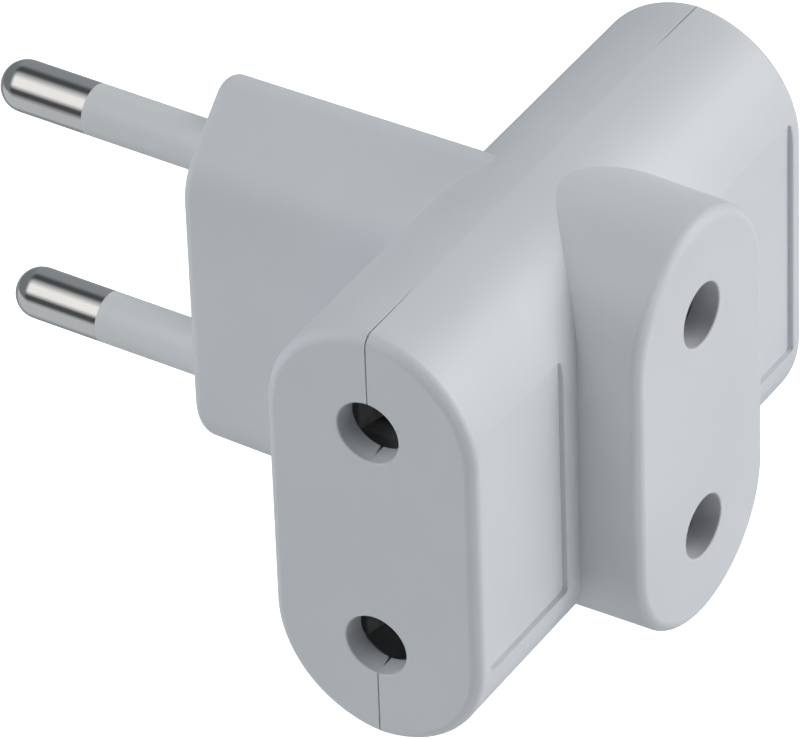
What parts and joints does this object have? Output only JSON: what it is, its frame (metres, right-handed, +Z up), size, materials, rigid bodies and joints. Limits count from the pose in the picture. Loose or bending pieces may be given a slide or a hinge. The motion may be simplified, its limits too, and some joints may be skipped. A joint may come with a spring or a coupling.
{
  "type": "multi socket adapter",
  "caption": "T-shaped mains adapter: a round-pin plug on one side of a crossbar, with outlets in both ends of the bar and in its raised front.",
  "frame": {"origin": "middle of the plug face, halfway between the two pins", "axes": "+X from the plug face towards the front outlet, Y along the crossbar, +Z up through both pins"},
  "size_m": [0.0592, 0.0464, 0.0358],
  "materials": {
    "housing": "satin moulded, pale grey-white",
    "plated_pin": "polished nickel plate",
    "sleeve": "satin, pale grey",
    "brass_strip": "rolled strip",
    "contact_spring": "rolled spring strip",
    "rivet": "turned and peened",
    "screw": "zinc plated"
  },
  "bodies": {
    "root": {"rear_shell": "housing", "front_shell": "housing", "upper_pin": "plated_pin", "lower_pin": "plated_pin", "upper_pin_sleeve": "sleeve", "lower_pin_sleeve": "sleeve", "upper_bus_bar": "brass_strip", "lower_bus_bar": "brass_strip", "upper_left_contact": "contact_spring", "upper_right_contact": "contact_spring", "upper_front_contact": "contact_spring", "lower_left_contact": "contact_spring", "lower_right_contact": "contact_spring", "lower_front_contact": "contact_spring", "upper_left_rivet": "rivet", "upper_right_rivet": "rivet", "upper_front_rivet": "rivet", "lower_left_rivet": "rivet", "lower_right_rivet": "rivet", "lower_front_rivet": "rivet", "closing_screw": "screw"}
  },
  "joints": []
}
